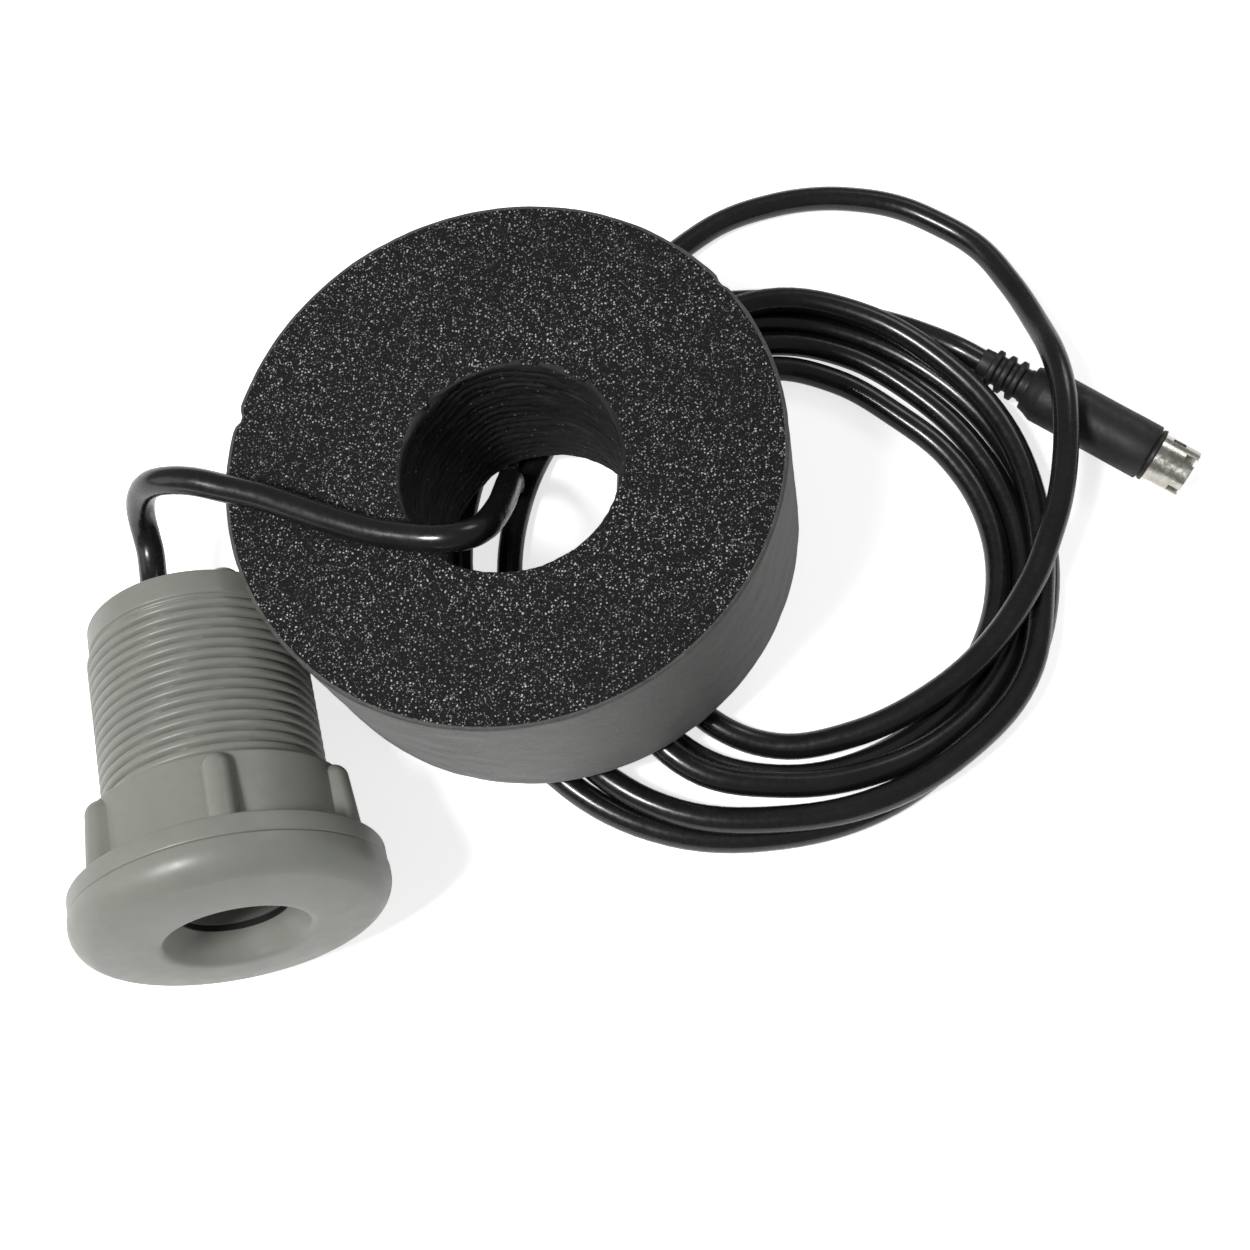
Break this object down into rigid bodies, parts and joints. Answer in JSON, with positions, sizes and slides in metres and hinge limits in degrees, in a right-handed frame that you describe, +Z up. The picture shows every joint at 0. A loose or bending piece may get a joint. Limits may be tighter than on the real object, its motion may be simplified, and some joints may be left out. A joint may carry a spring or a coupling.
{
  "type": "through-wall spa sensor",
  "caption": "Grey threaded through-wall sensor fitting with flange and grip nut, a thick foam ring on its black lead, and the lead coiled to a round multi-pin plug.",
  "frame": {"origin": "on the table, at the centre of the base of the box around the fitting and the foam ring as they lie", "axes": "+Z up from the table; +X to the right, from the fitting towards the plug; +Y to the back, from the fitting's front cap towards its rear"},
  "size_m": [0.2092, 0.1686, 0.0524],
  "materials": {
    "body_plastic": "satin",
    "gasket_rubber": "matte",
    "washer_plastic": "satin",
    "window_plastic": "gloss",
    "board": "satin",
    "component": "satin",
    "emitter_lens": "gloss",
    "standoff_metal": "satin",
    "wire": "satin",
    "potting": "satin",
    "foam": "matte",
    "cord_jacket": "satin",
    "plug_body": "satin",
    "plug_metal": "satin",
    "insert_plastic": "satin",
    "contact": "polished"
  },
  "bodies": {
    "fitting": {"wall_body": "body_plastic", "front_cap": "body_plastic", "cap_o_ring": "gasket_rubber", "aperture_ring": "gasket_rubber", "inner_sleeve": "body_plastic", "lens_gasket": "gasket_rubber", "window_lens": "window_plastic", "lens_retainer": "washer_plastic", "board_standoffs": "standoff_metal", "sensor_board": "board", "light_sensor": "component", "emitters": "emitter_lens", "board_parts": "component", "core_wires": "wire", "potting_plug": "potting", "rear_cap": "body_plastic", "fill_plug": "body_plastic", "cord_gland": "gasket_rubber", "flange_gasket": "gasket_rubber", "foam_ring": "foam", "cord_lead": "cord_jacket", "cord_loop": "cord_jacket", "cord_coil_lower": "cord_jacket", "cord_coil_upper": "cord_jacket", "cord_tail": "cord_jacket", "plug_strain_relief": "plug_body", "plug_overmould": "plug_body", "plug_shell": "plug_metal", "plug_insert": "insert_plastic", "plug_pins": "contact", "plug_key": "insert_plastic"},
    "nut_carriage": {"slip_washer": "washer_plastic"},
    "nut": {"lock_nut": "body_plastic"}
  },
  "joints": [
    {"name": "nut_travel", "type": "slide", "parent": "fitting", "child": "nut_carriage", "axis": [-0.2508, 0.956, -0.1521], "range_m": [0, 0.0121]},
    {"name": "nut_turn", "type": "hinge", "parent": "nut_carriage", "child": "nut", "pos_m": [-0.03584, -0.04537, 0.02471], "axis": [-0.2508, 0.956, -0.1521], "range_deg": [0, 2160]}
  ],
  "couplings": [
    {"joint": "nut_travel", "follows": "nut_turn", "m_per_rad": 0.00031831}
  ]
}
